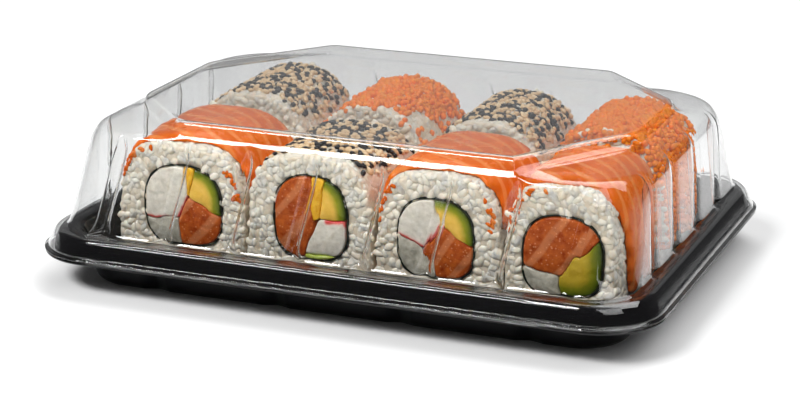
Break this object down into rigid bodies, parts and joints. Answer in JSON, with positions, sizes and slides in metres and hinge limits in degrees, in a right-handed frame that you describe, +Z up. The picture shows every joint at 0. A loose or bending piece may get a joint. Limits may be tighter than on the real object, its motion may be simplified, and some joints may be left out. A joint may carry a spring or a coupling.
{
  "type": "takeaway sushi tray",
  "caption": "Shallow black takeaway tray with a clear ribbed press-on lid, filled with inside-out sushi rolls in two rows.",
  "frame": {"origin": "middle of the underside of the base", "axes": "+X along the long side, -Y towards the front, +Z up"},
  "size_m": [0.185, 0.134, 0.05],
  "materials": {
    "base": "glossy black thermoformed sheet",
    "clear_lid": "clear glossy thermoformed sheet",
    "rice": "moist cooked rice grains, with sesame or fish roe fused on some rolls",
    "seaweed": "dark moist seaweed sheet",
    "salmon": "moist raw fish with pale fat lines",
    "avocado": "yellow flesh, green towards its outer edge",
    "crab_stick": "white fibrous stick with a red edge",
    "pickled_radish": "yellow pickled strip",
    "cream_cheese": "smooth off-white",
    "cucumber": "thin yellow-green strip"
  },
  "bodies": {
    "root": {"lid": "clear_lid", "roll_1_avocado": "avocado", "roll_1_cream": "cream_cheese", "roll_1_nori": "seaweed", "roll_1_pickle": "pickled_radish", "roll_1_rice": "rice", "roll_1_salmon": "salmon", "roll_1_slice": "salmon", "roll_1_surimi": "crab_stick", "roll_2_avocado": "avocado", "roll_2_cucumber": "cucumber", "roll_2_nori": "seaweed", "roll_2_pickle": "pickled_radish", "roll_2_rice": "rice", "roll_2_salmon": "salmon", "roll_2_surimi": "crab_stick", "roll_3_avocado": "avocado", "roll_3_cream": "cream_cheese", "roll_3_nori": "seaweed", "roll_3_rice": "rice", "roll_3_salmon": "salmon", "roll_3_slice": "salmon", "roll_3_surimi": "crab_stick", "roll_4_avocado": "avocado", "roll_4_cream": "cream_cheese", "roll_4_nori": "seaweed", "roll_4_rice": "rice", "roll_4_salmon": "salmon", "roll_4_slice": "salmon", "roll_5_avocado": "avocado", "roll_5_cucumber": "cucumber", "roll_5_nori": "seaweed", "roll_5_pickle": "pickled_radish", "roll_5_rice": "rice", "roll_5_salmon": "salmon", "roll_5_surimi": "crab_stick", "roll_6_avocado": "avocado", "roll_6_cream": "cream_cheese", "roll_6_nori": "seaweed", "roll_6_pickle": "pickled_radish", "roll_6_rice": "rice", "roll_6_salmon": "salmon", "roll_6_surimi": "crab_stick", "roll_7_avocado": "avocado", "roll_7_cucumber": "cucumber", "roll_7_nori": "seaweed", "roll_7_pickle": "pickled_radish", "roll_7_rice": "rice", "roll_7_salmon": "salmon", "roll_7_surimi": "crab_stick", "roll_8_avocado": "avocado", "roll_8_cream": "cream_cheese", "roll_8_nori": "seaweed", "roll_8_rice": "rice", "roll_8_salmon": "salmon", "roll_8_surimi": "crab_stick", "tray": "base"}
  },
  "joints": []
}
